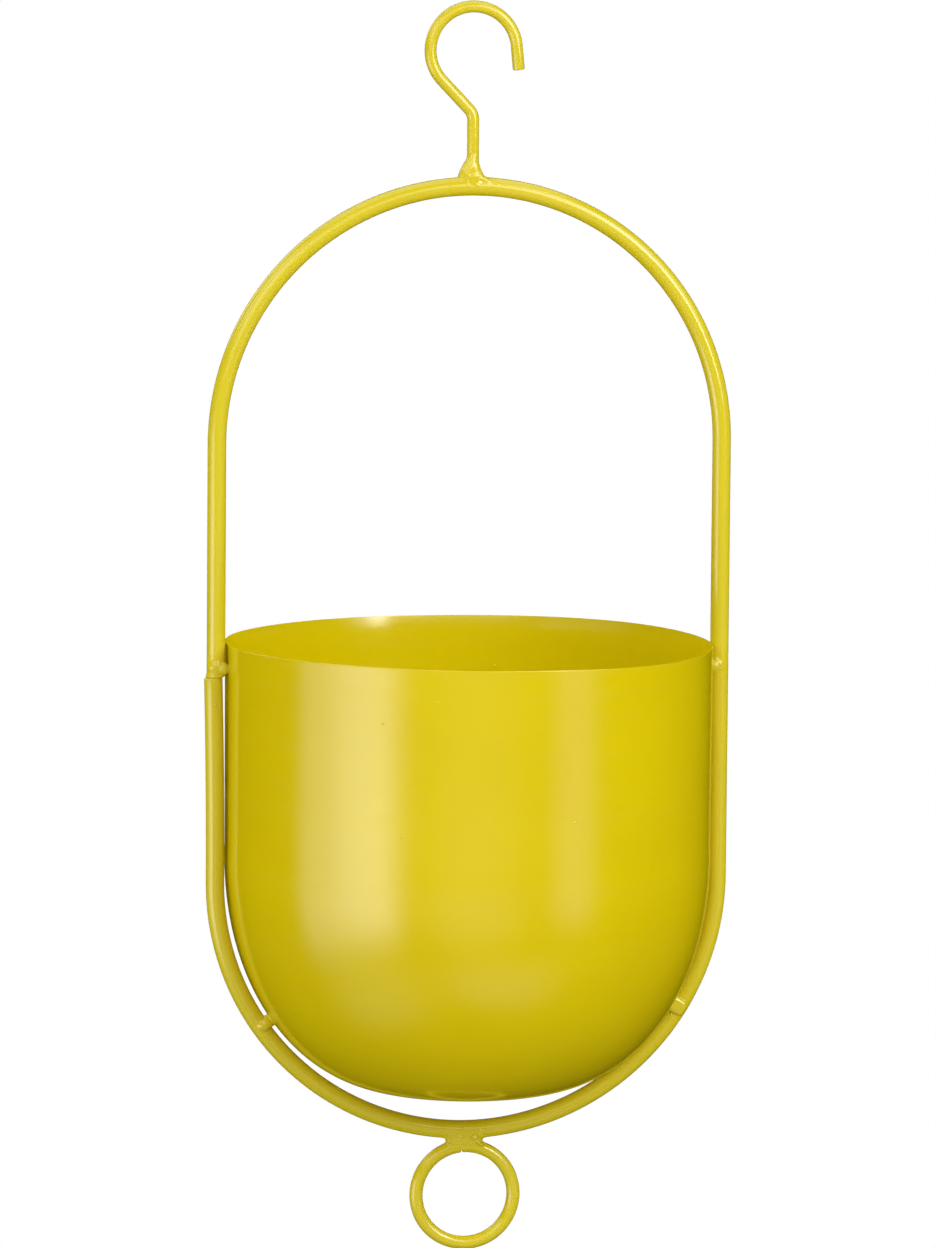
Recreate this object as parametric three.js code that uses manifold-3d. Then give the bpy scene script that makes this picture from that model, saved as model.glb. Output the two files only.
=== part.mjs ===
// A hanging planter: a deep sheet-steel bowl welded into a tall hoop of bent rod,
// with an open wire hook above it and a wire ring below it.
//
// Sizes are in millimetres and angles in degrees. +Z is up, and the hoop lies in
// the XZ plane. The origin is the inside of the hook's crown, where the planter
// bears on whatever it hangs from.

import {
  BufferAttribute,
  BufferGeometry,
  Curve,
  ExtrudeGeometry,
  Group,
  LatheGeometry,
  MathUtils,
  Matrix4,
  Mesh,
  MeshStandardMaterial,
  Shape,
  SphereGeometry,
  Vector2,
  Vector3,
} from 'three';
import { mergeVertices } from 'three/addons/utils/BufferGeometryUtils.js';
import Module from 'manifold-3d';

// ---- Driving dimensions ----

// The bowl is spun from one sheet: a straight side, then a round bottom that
// follows a superellipse down to a small flat underside.
const bowl = {
  diameter: 180,
  sideHeight: 78,
  bottomDepth: 88,
  sideTaper: 0.2,
  baseDiameter: 49,
  roundness: 2.09,
  sheet: 0.8,
};

// The hoop is one rod with half-round ends and straight legs. It passes close by
// the bowl's side, and the lower bend is set by its gap to the round bottom where
// the two are tacked together, at tackAngle below the level of the bend's centre.
// The rod's two ends meet a little out of line in the left leg.
const hoop = {
  rod: 6.8,
  sideGap: 0.6,
  headroom: 165,
  tackGap: 1.4,
  tackAngle: 33.75,
  spliceDrop: 11.4,
  spliceGap: 1.4,
  spliceStep: 0.95,
  spliceEase: 73,
};

const hook = {
  wire: 4.4,
  innerRadius: 13.8,
  height: 60.1,
  throatAngle: 43.6,
  neckRadius: 6,
  endDrop: 21,
  endLean: 5.5,
};

const ring = {
  wire: 4.9,
  innerDiameter: 31.6,
  buttGap: 0.7,
};

// Weld beads. Every bead clears the metal it joins by weldGap.
const weldGap = 0.3;
const hookWeld = { halfLength: 6.6, halfDepth: 4.3, height: 6.6, skirt: 2.4 };
const ringWeld = { wedge: 1.5, halfDepth: 3.4, overRod: 3.2, overRing: 2.6 };
const tackBead = { onRod: 0.9, across: 5.8, depth: 5, forward: 2.4 };

// Where the rod is tacked to the bowl: on the legs by the drop below the rim, and
// on the lower bend by the turn past tackAngle.
const tacks = [
  { name: 'tack_upper_left', side: -1, drop: 8, length: 5 },
  { name: 'tack_upper_right', side: 1, drop: 9.3, length: 5 },
  { name: 'tack_lower_left', side: -1, turn: 1.25, length: 4.6 },
  { name: 'tack_lower_right', side: 1, turn: -1.25, length: 6.8 },
];

// Facets.
const bowlSegments = 64;
const bottomSteps = 15;
const rimSteps = 4;
const bendSteps = 30;
const rodSides = 16;
const wireSides = 12;
const ringSteps = 36;
const hookSteps = 24;
const neckSteps = 3;
const easeSteps = 5;
const tackColumns = 16;
const ringBeadColumns = 20;
const beadRows = 12;

// Corners closer together than this are one.
const sameCorner = 1e-4;

const paint = { color: 0xcdb50c, roughness: 0.28, metalness: 0 };

// ---- Sizes worked out from them ----

const radians = MathUtils.degToRad;
const rodRadius = hoop.rod / 2;
const rimRadius = bowl.diameter / 2;
const baseRadius = bowl.baseDiameter / 2;
const bulge = rimRadius - bowl.sideTaper - baseRadius;
const legX = rimRadius + hoop.sideGap + rodRadius;

// The round bottom's height at a radius. Heights here and in the hoop are in the
// bowl's own frame, whose zero is the plane of the rim.
function bottomZ(radius) {
  const share = (radius - baseRadius) / bulge;
  return -bowl.sideHeight - bowl.bottomDepth * (1 - share ** bowl.roundness) ** (1 / bowl.roundness);
}

const tackAngle = radians(hoop.tackAngle);
const tackReach = legX - rodRadius - hoop.tackGap;
const lowerBendZ = bottomZ(tackReach * Math.cos(tackAngle)) + tackReach * Math.sin(tackAngle);
const hoopBottom = lowerBendZ - legX;
const hoopTop = hoop.headroom + rodRadius;
const upperBendZ = hoopTop - legX;

// The rim's height in the part's frame.
const rimZ = -hook.height - rodRadius - hoopTop;

// ---- Bent wire and rod ----

// A centreline given by stations, close together in bends and far apart on
// straights. Each station's tangent halves the angle between its two chords.
class BentCentreline extends Curve {
  constructor(stations) {
    super();
    this.stations = stations;
    this.steps = stations.length - 1;
  }

  getPoint(t, target = new Vector3()) {
    return target.copy(this.stations[Math.round(t * this.steps)]);
  }

  getPointAt(u, target) {
    return this.getPoint(u, target);
  }

  getTangentAt(u, target = new Vector3()) {
    const index = Math.round(u * this.steps);
    const here = this.stations[index];
    const before = this.stations[Math.max(index - 1, 0)];
    const after = this.stations[Math.min(index + 1, this.steps)];
    const chordIn = new Vector3().subVectors(here, before).normalize();
    const chordOut = new Vector3().subVectors(after, here).normalize();
    return target.addVectors(chordIn, chordOut).normalize();
  }
}

// Stations round an arc in the XZ plane, from one angle to another.
function arcStations(centreX, centreZ, radius, fromAngle, toAngle, steps) {
  const stations = [];
  for (let step = 0; step <= steps; step += 1) {
    const angle = radians(fromAngle + ((toAngle - fromAngle) * step) / steps);
    const x = centreX + radius * Math.cos(angle);
    const z = centreZ + radius * Math.sin(angle);
    stations.push(new Vector3(x, 0, z));
  }
  return stations;
}

// A round bar swept along stations.
function barGeometry(stations, diameter, sides) {
  const section = new Shape();
  section.absarc(0, 0, diameter / 2, 0, 2 * Math.PI);
  const path = new BentCentreline(stations);
  const options = { steps: path.steps, curveSegments: sides / 2, extrudePath: path };
  return new ExtrudeGeometry(section, options);
}

// ---- Joining and cutting ----

const wasm = await Module();
wasm.setup();

function toSolid(geometry) {
  const bare = geometry.clone();
  bare.deleteAttribute('normal');
  bare.deleteAttribute('uv');
  const merged = mergeVertices(bare, sameCorner);
  const corners = [];
  for (let first = 0; first < merged.index.count; first += 3) {
    const a = merged.index.getX(first);
    const b = merged.index.getX(first + 1);
    const c = merged.index.getX(first + 2);
    if (a !== b && b !== c && c !== a) {
      corners.push(a, b, c);
    }
  }
  const vertProperties = new Float32Array(merged.attributes.position.array);
  const triVerts = new Uint32Array(corners);
  return new wasm.Manifold(new wasm.Mesh({ numProp: 3, vertProperties, triVerts }));
}

function toGeometry(solid) {
  const mesh = solid.getMesh();
  const geometry = new BufferGeometry();
  geometry.setAttribute('position', new BufferAttribute(mesh.vertProperties, mesh.numProp));
  geometry.setIndex(new BufferAttribute(mesh.triVerts, 1));
  return geometry;
}

// A bead of weld metal: a plain form with the metal that it lies on cut away.
function beadGeometry(form, ...neighbours) {
  let solid = toSolid(form);
  for (const neighbour of neighbours) {
    solid = solid.subtract(toSolid(neighbour));
  }
  return toGeometry(solid);
}

// ---- Bowl ----

// The outline in radius and height, from the underside's edge up to the rim, and
// moved out of the sheet by offset.
function bowlOutline(offset) {
  const power = 2 / bowl.roundness;
  const points = [];
  for (let step = 0; step <= bottomSteps; step += 1) {
    const angle = (step / bottomSteps) * (Math.PI / 2);
    const radius = baseRadius + bulge * Math.sin(angle) ** power;
    const height = -bowl.sideHeight - bowl.bottomDepth * Math.cos(angle) ** power;
    points.push(new Vector2(radius, height));
  }
  points.push(new Vector2(rimRadius, 0));
  const last = points.length - 1;
  return points.map((point, index) => {
    const along = new Vector2();
    along.subVectors(points[Math.min(index + 1, last)], points[Math.max(index - 1, 0)]);
    if (index === 0) {
      along.set(1, 0);
    }
    along.normalize();
    return new Vector2(point.x + along.y * offset, point.y - along.x * offset);
  });
}

function lathe(profile, segments) {
  return new LatheGeometry(profile, segments).rotateX(Math.PI / 2);
}

function bowlGeometry() {
  const outside = bowlOutline(0);
  const inside = bowlOutline(-bowl.sheet).reverse();
  const edge = bowl.sheet / 2;
  const profile = [new Vector2(0, outside[0].y), ...outside.slice(0, -1)];
  for (let step = 0; step <= rimSteps; step += 1) {
    const angle = (step / rimSteps) * Math.PI;
    const radius = rimRadius - edge + edge * Math.cos(angle);
    profile.push(new Vector2(radius, -edge + edge * Math.sin(angle)));
  }
  profile.push(...inside.slice(1));
  profile.push(new Vector2(0, inside.at(-1).y));
  return lathe(profile, bowlSegments);
}

// The space that the bowl fills, with a margin round it.
function bowlEnvelope(margin) {
  const outline = bowlOutline(margin);
  const profile = [new Vector2(0, outline[0].y), ...outline, new Vector2(0, outline.at(-1).y)];
  return lathe(profile, bowlSegments);
}

// ---- Hoop ----

const spliceZ = -hoop.spliceDrop;

function hoopStations() {
  const stations = [];
  const endGap = hoop.spliceGap / 2;
  const lowerEnd = spliceZ - endGap;
  const ease = Math.min(hoop.spliceEase, lowerEnd - lowerBendZ);
  for (let step = easeSteps; step >= 1; step -= 1) {
    const share = step / easeSteps;
    const x = -legX - hoop.spliceStep * share ** 2;
    stations.push(new Vector3(x, 0, lowerEnd - ease * (1 - share)));
  }
  stations.push(...arcStations(0, lowerBendZ, legX, 180, 360, bendSteps));
  stations.push(...arcStations(0, upperBendZ, legX, 0, 180, bendSteps));
  stations.push(new Vector3(-legX, 0, spliceZ + endGap));
  return stations;
}

function hoopGeometry(margin = 0) {
  return barGeometry(hoopStations(), hoop.rod + 2 * margin, rodSides);
}

// The splice bead fills the space between the rod's ends, and leans from one end
// to the other because they are out of line.
function spliceGeometry() {
  const half = hoop.spliceGap / 2 - weldGap;
  const waist = rodRadius - weldGap / 2;
  const profile = [
    new Vector2(0, -half),
    new Vector2(waist - half, -half),
    new Vector2(waist, 0),
    new Vector2(waist - half, half),
    new Vector2(0, half),
  ];
  const lean = new Matrix4().makeShear(0, 0, 0, 0, hoop.spliceStep / hoop.spliceGap, 0);
  const middle = -legX - hoop.spliceStep / 2;
  return lathe(profile, rodSides).applyMatrix4(lean).translate(middle, 0, spliceZ);
}

// ---- Tacks between the rod and the bowl ----

function nearestOnBowl(point) {
  const outline = bowlOutline(0);
  const nearest = new Vector2();
  let least = Infinity;
  for (let index = 1; index < outline.length; index += 1) {
    const start = outline[index - 1];
    const run = new Vector2().subVectors(outline[index], start);
    const reach = new Vector2().subVectors(point, start).dot(run) / run.lengthSq();
    const foot = start.clone().addScaledVector(run, MathUtils.clamp(reach, 0, 1));
    if (foot.distanceTo(point) < least) {
      least = foot.distanceTo(point);
      nearest.copy(foot);
    }
  }
  return nearest;
}

// The rod's centre at a tack, as a radius and a height.
function tackSeat(tack) {
  if (tack.drop !== undefined) {
    return new Vector2(legX, -tack.drop);
  }
  const angle = tackAngle + radians(tack.turn);
  return new Vector2(legX * Math.cos(angle), lowerBendZ - legX * Math.sin(angle));
}

// A bead on the front of the rod that reaches over the gap to the bowl.
function tackGeometry(tack) {
  const seat = tackSeat(tack);
  const contact = nearestOnBowl(seat);
  const inward = new Vector2().subVectors(contact, seat);
  const gap = inward.length() - rodRadius;
  inward.normalize();
  const reach = rodRadius - tackBead.onRod + gap / 2;
  const centre = seat.clone().addScaledVector(inward, reach);
  const across = new Vector3(tack.side * inward.x, 0, inward.y);
  const forward = new Vector3(0, 1, 0);
  const along = new Vector3().crossVectors(across, forward);
  const place = new Matrix4().makeBasis(
    across.multiplyScalar((tackBead.across + gap) / 2),
    forward.multiplyScalar(tackBead.depth / 2),
    along.multiplyScalar(tack.length / 2),
  );
  place.setPosition(tack.side * centre.x, -tackBead.forward, centre.y);
  const bead = new SphereGeometry(1, tackColumns, beadRows).applyMatrix4(place);
  return beadGeometry(bead, hoopGeometry(weldGap), bowlEnvelope(weldGap));
}

// ---- Hook ----

const hookRadius = hook.innerRadius + hook.wire / 2;

function hookStations() {
  const throat = radians(hook.throatAngle);
  const crownZ = -hook.innerRadius;
  const neckZ = crownZ - hookRadius * (Math.sin(throat) + Math.cos(throat) / Math.tan(throat));
  const neckRun = hook.neckRadius * Math.tan(throat / 2);
  const neck = arcStations(
    -hook.neckRadius, neckZ - neckRun, hook.neckRadius, hook.throatAngle, 0, neckSteps,
  );
  const bend = arcStations(
    0, crownZ, hookRadius, hook.endLean, 180 + hook.throatAngle, hookSteps,
  );
  const legRun = hook.endDrop + bend[0].z;
  const legEnd = new Vector3(bend[0].x + legRun * Math.tan(radians(hook.endLean)), 0, -hook.endDrop);
  const foot = new Vector3(0, 0, weldGap - hook.height);
  return [legEnd, ...bend, ...neck, foot];
}

function hookGeometry() {
  return barGeometry(hookStations(), hook.wire, wireSides);
}

// A cone of weld round the hook's stem that spreads over the top of the rod.
function hookWeldGeometry() {
  const stem = hook.wire / 2 + weldGap;
  const collar = stem + weldGap;
  const spread = hookWeld.halfLength - collar;
  const profile = [new Vector2(0, -hookWeld.skirt)];
  profile.push(new Vector2(hookWeld.halfLength - hookWeld.skirt / 2, -hookWeld.skirt));
  for (let step = 0; step <= neckSteps; step += 1) {
    const share = step / neckSteps;
    profile.push(new Vector2(collar + spread * (1 - share) ** 2, hookWeld.height * share));
  }
  profile.push(new Vector2(0, hookWeld.height));
  const flatten = hookWeld.halfDepth / hookWeld.halfLength;
  const cone = lathe(profile, 2 * wireSides).scale(1, flatten, 1).translate(0, 0, -hook.height);
  const socket = barGeometry(
    [new Vector3(0, 0, 0), new Vector3(0, 0, rimZ + hoopTop)], 2 * stem, wireSides,
  );
  return beadGeometry(cone, socket, hoopGeometry(weldGap).translate(0, 0, rimZ));
}

// ---- Ring ----

const ringRadius = (ring.innerDiameter + ring.wire) / 2;
const ringZ = rimZ + hoopBottom - rodRadius - weldGap - ring.wire / 2 - ringRadius;

function ringGeometry(margin = 0) {
  const butt = MathUtils.radToDeg(ring.buttGap / 2 / ringRadius);
  const stations = arcStations(0, 0, ringRadius, 90 + butt, 450 - butt, ringSteps);
  return barGeometry(stations, ring.wire + 2 * margin, wireSides);
}

// A bead that joins the ring's two ends to the rod, out to where the wedge
// between them opens to ringWeld.wedge.
function ringWeldGeometry() {
  const ringOutside = ringRadius + ring.wire / 2;
  const hoopOutside = legX + rodRadius;
  const closing = 1 / ringOutside - 1 / hoopOutside;
  const halfLength = Math.sqrt((2 * (ringWeld.wedge - weldGap)) / closing) + weldGap;
  const halfHeight = (ringWeld.overRod + ringWeld.overRing) / 2;
  const contactZ = rimZ + hoopBottom - rodRadius;
  const middleZ = contactZ + (ringWeld.overRod - ringWeld.overRing) / 2;
  const bead = new SphereGeometry(1, ringBeadColumns, beadRows);
  bead.scale(halfLength, ringWeld.halfDepth, halfHeight);
  bead.translate(0, 0, middleZ);
  return beadGeometry(
    bead,
    hoopGeometry(weldGap).translate(0, 0, rimZ),
    ringGeometry(weldGap).translate(0, 0, ringZ),
  );
}

// ---- Assembly ----

function painted(name, geometry) {
  const mesh = new Mesh(geometry, new MeshStandardMaterial(paint));
  mesh.name = name;
  return mesh;
}

const planter = new Group();
planter.add(painted('hook', hookGeometry()));
planter.add(painted('hook_weld', hookWeldGeometry()));

const cradle = new Group();
cradle.position.z = rimZ;
cradle.add(painted('pot_bowl', bowlGeometry()));
cradle.add(painted('hoop_rod', hoopGeometry()));
cradle.add(painted('splice_weld', spliceGeometry()));
for (const tack of tacks) {
  cradle.add(painted(tack.name, tackGeometry(tack)));
}
planter.add(cradle);

const hangingRing = painted('hanging_ring', ringGeometry());
hangingRing.position.z = ringZ;
planter.add(hangingRing);
planter.add(painted('ring_weld', ringWeldGeometry()));

export default planter;
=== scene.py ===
"""A hanging planter: a painted steel bowl in a bent rod hoop, with a wire hook and ring.

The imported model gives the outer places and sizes, and what it doesn't show is a named length.
Lengths are in metres, +Z is up, the hoop lies in the XZ plane and the camera looks roughly
along +Y.
"""

import logging
import math
from dataclasses import dataclass
from enum import Enum
from typing import Callable

import bmesh
import bpy
import numpy as np
from mathutils import Matrix, Vector, noise


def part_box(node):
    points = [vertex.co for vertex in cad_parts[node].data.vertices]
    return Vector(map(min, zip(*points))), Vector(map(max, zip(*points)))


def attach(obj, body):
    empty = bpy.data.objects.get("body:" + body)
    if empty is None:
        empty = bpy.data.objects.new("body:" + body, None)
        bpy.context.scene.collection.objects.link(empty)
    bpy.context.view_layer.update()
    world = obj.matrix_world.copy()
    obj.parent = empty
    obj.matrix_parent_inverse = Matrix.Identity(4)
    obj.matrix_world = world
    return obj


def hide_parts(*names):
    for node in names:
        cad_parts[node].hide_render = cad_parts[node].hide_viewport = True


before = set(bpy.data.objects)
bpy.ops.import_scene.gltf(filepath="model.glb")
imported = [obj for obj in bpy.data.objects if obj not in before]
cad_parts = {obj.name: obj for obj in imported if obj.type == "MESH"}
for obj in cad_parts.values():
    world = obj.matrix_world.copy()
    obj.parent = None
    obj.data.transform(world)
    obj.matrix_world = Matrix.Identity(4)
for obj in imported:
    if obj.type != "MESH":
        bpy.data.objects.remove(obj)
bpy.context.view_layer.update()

log = logging.getLogger("planter")

MM = 0.001
BODY = "root"
UP = Vector((0.0, 0.0, 1.0))
CLOCKWISE = Vector((0.0, 1.0, 0.0))
ANTICLOCKWISE = Vector((0.0, -1.0, 0.0))

MERGE_DISTANCE = 1e-7
LEAST_REACH = 1e-6
LEAST_SLOPE = 1e-3
SHARP_ANGLE = math.radians(40.0)
ROUND_STEPS = 4
WIRE_SIDES = 32
PAINT_IOR = 1.6
# How far a drop's front turns to face the brightest light, in degrees to the right and up.
TOWARD_KEY = (13.6, 14.4)

BMesh = bmesh.types.BMesh
Socket = bpy.types.NodeSocket
Field = Callable[[np.ndarray], np.ndarray]
Triple = tuple[float, float, float]


def mm(*lengths: float) -> tuple[float, ...]:
    """Returns lengths given in millimetres in metres."""
    return tuple(length * MM for length in lengths)


def beside(place: Triple, *offset: float) -> Triple:
    """Returns the place so many millimetres to the right of, behind and above another."""
    return tuple(start + step * MM for start, step in zip(place, offset))


def show(name: str, data: bpy.types.ID) -> bpy.types.Object:
    """Puts an object with some data in the scene.

    Args:
        name: The object's name.
        data: Its mesh, light or camera.

    Returns:
        The object.
    """
    made = bpy.data.objects.new(name, data)
    bpy.context.scene.collection.objects.link(made)
    return made


def as_mesh(name: str, bm: BMesh, material: bpy.types.Material) -> bpy.types.Mesh:
    """Turns a bmesh into a mesh.

    Args:
        name: The mesh's name.
        bm: The bmesh, which is freed.
        material: The mesh's material.

    Returns:
        The mesh.
    """
    mesh = bpy.data.meshes.new(name)
    bm.to_mesh(mesh)
    bm.free()
    mesh.materials.append(material)
    return mesh


def direction(azimuth: float, elevation: float) -> Vector:
    """Returns the way to a place, by its angle round from the front and its height in radians."""
    level = math.cos(elevation)
    return Vector((math.sin(azimuth) * level, -math.cos(azimuth) * level, math.sin(elevation)))


# ---- shared sizes


@dataclass(frozen=True)
class Layout:
    """Places and sizes that the pieces share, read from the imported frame."""

    rim_z: float
    base_z: float
    rim_radius: float
    rod_radius: float
    leg_x: float
    low_bend_z: float
    high_bend_z: float
    hook_radius: float
    ring_radius: float
    ring_foot_z: float

    @property
    def hoop_top_z(self) -> float:
        """The height of the top of the hoop."""
        return self.high_bend_z + self.leg_x + self.rod_radius

    @property
    def hoop_foot_z(self) -> float:
        """The height of the hoop's underside."""
        return self.low_bend_z - self.leg_x - self.rod_radius

    @classmethod
    def from_frame(cls) -> "Layout":
        """Reads the nodes' boxes.

        Returns:
            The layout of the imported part.
        """
        bowl_low, bowl_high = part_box("pot_bowl")
        hoop_low, hoop_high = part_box("hoop_rod")
        hook_low, hook_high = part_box("hook")
        ring_low, ring_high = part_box("hanging_ring")
        rod_radius = (hoop_high.y - hoop_low.y) / 2
        leg_x = hoop_high.x - rod_radius
        return cls(
            rim_z=bowl_high.z,
            base_z=bowl_low.z,
            rim_radius=bowl_high.x,
            rod_radius=rod_radius,
            leg_x=leg_x,
            low_bend_z=hoop_low.z + rod_radius + leg_x,
            high_bend_z=hoop_high.z - rod_radius - leg_x,
            hook_radius=(hook_high.y - hook_low.y) / 2,
            ring_radius=(ring_high.y - ring_low.y) / 2,
            ring_foot_z=ring_low.z,
        )


# ---- finishes


class Paint(Enum):
    """The ways in which the one gloss paint lies on the steel."""

    SPUN_SHEET = "paint_on_spun_sheet"
    BAR = "paint_on_bar"
    WELD = "paint_on_weld"


@dataclass(frozen=True)
class GlossPaint:
    """Gloss paint on steel, with what shows through it.

    Attributes:
        name: The material's name.
        tint: Base colour, linear.
        deep_tint: Colour where the film is thick.
        roughness: Roughness of the clean film.
        wave_height: Height of the film's slow waves.
        wave_scale: Waves in a metre.
        nib_height: Height of the dust nibs under the film.
        spin_height: Height of the spinning marks, or zero for none.
        painted_bounce_tint: Base colour painted on the surfaces that face the mouth. It is painted
            bounce light, a shift of colour that stands in for the light bounced round inside the
            bowl.
        painted_bounce_share: How much of that painted bounce light shows, from zero to one.
        mouth_z: The height of the mouth's middle, on the part's axis.
    """

    name: str
    tint: Triple = (0.745, 0.578, 0.0)
    deep_tint: Triple = (0.725, 0.555, 0.0)
    roughness: float = 0.125
    wave_height: float = 0.02 * MM
    wave_scale: float = 90.0
    nib_height: float = 0.03 * MM
    spin_height: float = 0.0
    # Painted bounce light: the inside's own base colour stands in for the light bounced round
    # inside the bowl.
    painted_bounce_tint: Triple = (0.735, 0.595, 0.0)
    painted_bounce_share: float = 0.0
    mouth_z: float = 0.0

    def material(self) -> bpy.types.Material:
        """Builds the node material.

        Returns:
            The finished material.
        """
        made = bpy.data.materials.new(self.name)
        made.use_nodes = True
        graph = NodeSketch(made.node_tree)
        place = graph.node("ShaderNodeTexCoord")
        film = graph.node("ShaderNodeGroup", node_tree=paint_film_group())
        graph.feed(film, {
            "Place": place.outputs["Object"],
            "Facing": place.outputs["Normal"],
            "Mouth": (0.0, 0.0, self.mouth_z),
            "Wave Scale": self.wave_scale,
            "Wave Height": self.wave_height / MM,
            "Nib Height": self.nib_height / MM,
            "Spin Height": self.spin_height / MM,
            "Roughness": self.roughness,
            "Painted Bounce Share": self.painted_bounce_share,
            "Tint": (*self.tint, 1.0),
            "Deep Tint": (*self.deep_tint, 1.0),
            "Painted Bounce Tint": (*self.painted_bounce_tint, 1.0),
        })
        bump = graph.node("ShaderNodeBump", {
            "Strength": 1.0, "Distance": MM, "Height": film.outputs["Height"],
        })
        graph.feed(made.node_tree.nodes["Principled BSDF"], {
            "IOR": PAINT_IOR,
            "Metallic": 0.0,
            "Base Color": film.outputs["Color"],
            "Roughness": film.outputs["Roughness"],
            "Normal": bump.outputs["Normal"],
        })
        return made


@dataclass(frozen=True)
class FilmGrain:
    """What breaks up the paint film: dust nibs, spinning marks, thick pools and dull haze.

    A scale counts cells or waves in a metre, and a span holds the levels between which its
    texture takes effect. A score's roughness is for each millimetre of spin height.
    """

    nib_scale: float = 160.0
    nib_rarity: float = 0.86
    nib_radius: float = 0.11
    fine_scale: float = 1500.0
    fine_share: float = 0.35
    broad_scale: float = 240.0
    pool_scale: float = 26.0
    pool_span: tuple[float, float] = (0.38, 0.68)
    haze_scale: float = 420.0
    haze_span: tuple[float, float] = (0.35, 0.75)
    haze_roughness: float = 0.05
    score_span: tuple[float, float] = (0.55, 0.85)
    score_roughness: float = 2.5


GRAIN = FilmGrain()
FILM_SOCKETS = (
    ("INPUT", "NodeSocketVector", ("Place", "Facing", "Mouth")),
    ("INPUT", "NodeSocketFloat", ("Wave Scale", "Wave Height", "Nib Height", "Spin Height")),
    ("INPUT", "NodeSocketFloat", ("Roughness", "Painted Bounce Share")),
    ("INPUT", "NodeSocketColor", ("Tint", "Deep Tint", "Painted Bounce Tint")),
    ("OUTPUT", "NodeSocketColor", ("Color",)),
    ("OUTPUT", "NodeSocketFloat", ("Roughness", "Height")),
)


def paint_film_group() -> bpy.types.NodeTree:
    """Builds the paint film once, as a node group that each finish sets its own values on.

    Returns:
        The group, whose heights are in millimetres.
    """
    title = "paint film"
    if title in bpy.data.node_groups:
        return bpy.data.node_groups[title]
    group = bpy.data.node_groups.new(title, "ShaderNodeTree")
    for way, kind, names in FILM_SOCKETS:
        for name in names:
            group.interface.new_socket(name, in_out=way, socket_type=kind)

    graph = NodeSketch(group)
    given = graph.node("NodeGroupInput").outputs
    place = given["Place"]

    waves = graph.noise(place, given["Wave Scale"], 2.0)
    wave_height = graph.math("MULTIPLY", waves, given["Wave Height"])

    specks = graph.node("ShaderNodeTexVoronoi", {
        "Vector": place, "Scale": GRAIN.nib_scale, "Randomness": 1.0,
    }, feature="F1")
    chosen = graph.node("ShaderNodeSeparateColor", {"Color": specks.outputs["Color"]})
    rare = graph.math("GREATER_THAN", chosen.outputs["Red"], GRAIN.nib_rarity)
    lump = graph.spread(specks.outputs["Distance"], (GRAIN.nib_radius, 0.0), smooth=True)
    nib = graph.math("MULTIPLY", lump, rare)
    nib_height = graph.math("MULTIPLY", nib, given["Nib Height"])

    around = graph.rings(place)
    fine = graph.noise(around, GRAIN.fine_scale, 3.0)
    broad = graph.noise(around, GRAIN.broad_scale, 2.0)
    marks = graph.math("ADD", graph.math("MULTIPLY", fine, GRAIN.fine_share), broad)
    spin_height = graph.math("MULTIPLY", marks, given["Spin Height"])

    pools = graph.noise(place, GRAIN.pool_scale, 3.0)
    tone = graph.node("ShaderNodeMix", data_type="RGBA")
    graph.feed(tone, {
        "Factor": graph.spread(pools, GRAIN.pool_span), "A": given["Tint"], "B": given["Deep Tint"],
    })

    # Painted bounce light: surfaces that face the mouth take a shifted base colour in place of the
    # light bounced round inside the bowl.
    from_mouth = graph.node("ShaderNodeVectorMath", {0: place, 1: given["Mouth"]},
                            operation="SUBTRACT")
    outward = graph.node("ShaderNodeVectorMath", {
        0: from_mouth.outputs["Vector"], 1: given["Facing"],
    }, operation="DOT_PRODUCT")
    inside = graph.math("LESS_THAN", outward.outputs["Value"], 0.0)
    painted_bounce_mix = graph.node("ShaderNodeMix", data_type="RGBA")
    graph.feed(painted_bounce_mix, {
        "Factor": graph.math("MULTIPLY", inside, given["Painted Bounce Share"]),
        "A": tone.outputs["Result"], "B": given["Painted Bounce Tint"],
    })

    haze = graph.noise(place, GRAIN.haze_scale, 2.0)
    dull = graph.spread(haze, GRAIN.haze_span, GRAIN.haze_roughness)
    scores = graph.spread(marks, GRAIN.score_span, GRAIN.score_roughness)
    scored = graph.math("MULTIPLY", scores, given["Spin Height"])

    bumps = graph.math("ADD", wave_height, nib_height)
    graph.node("NodeGroupOutput", {
        "Color": painted_bounce_mix.outputs["Result"],
        "Roughness": graph.math("ADD", given["Roughness"], graph.math("ADD", dull, scored)),
        "Height": graph.math("ADD", bumps, spin_height),
    })
    return group


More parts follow.
